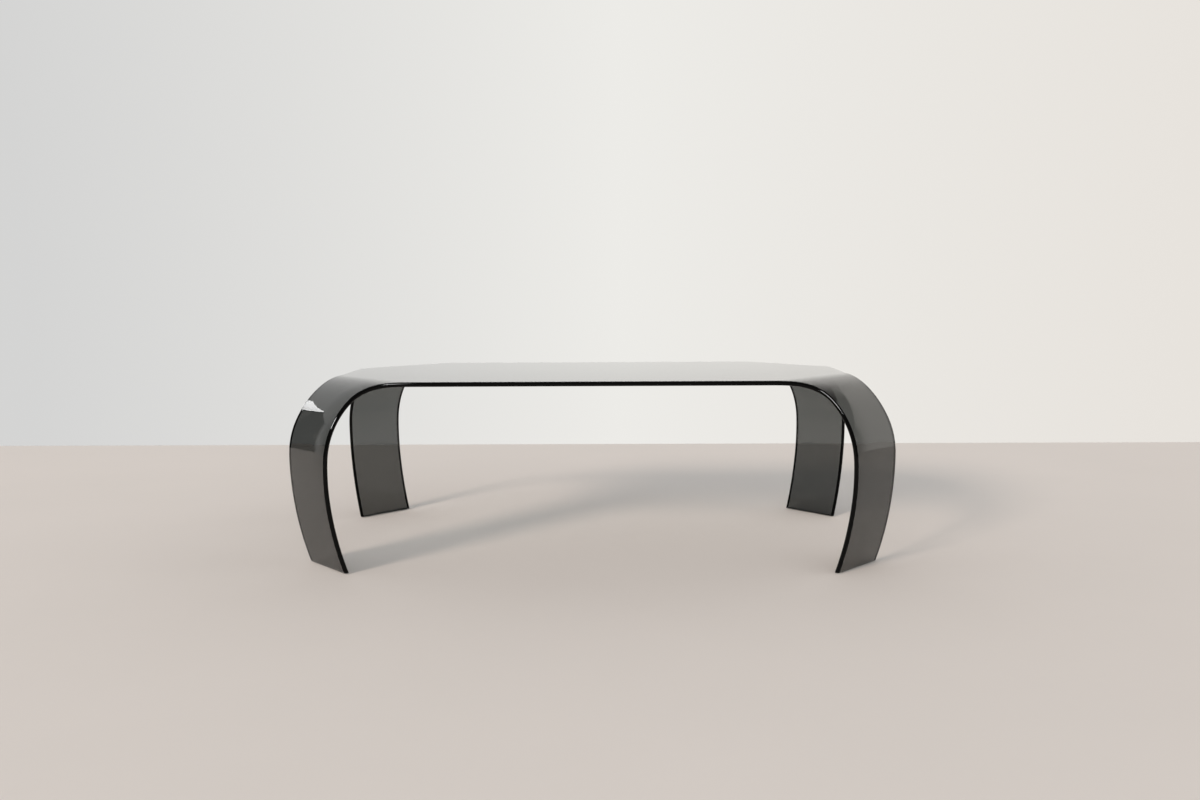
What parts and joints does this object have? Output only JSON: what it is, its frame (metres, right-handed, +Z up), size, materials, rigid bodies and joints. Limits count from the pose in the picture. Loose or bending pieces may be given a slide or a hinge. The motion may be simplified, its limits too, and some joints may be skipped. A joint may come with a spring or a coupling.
{
  "type": "waterfall coffee table",
  "caption": "Low coffee table bent from a single sheet of smoked glass: a flat rectangular top flows at its corners into slim diagonal legs that curl in to the floor.",
  "frame": {"origin": "on the floor, under the middle of the top", "axes": "+X along the table, +Y across it away from the viewer, +Z up"},
  "size_m": [1.293, 0.699, 0.4],
  "materials": {
    "smoked_glass": "polished, grey tinted through its thickness",
    "clear_pad": "clear, soft and slightly glossy"
  },
  "bodies": {
    "root": {"glass_sheet": "smoked_glass", "pad_front_left_outer": "clear_pad", "pad_front_left_inner": "clear_pad", "pad_front_right_outer": "clear_pad", "pad_front_right_inner": "clear_pad", "pad_back_left_outer": "clear_pad", "pad_back_left_inner": "clear_pad", "pad_back_right_outer": "clear_pad", "pad_back_right_inner": "clear_pad"}
  },
  "joints": []
}
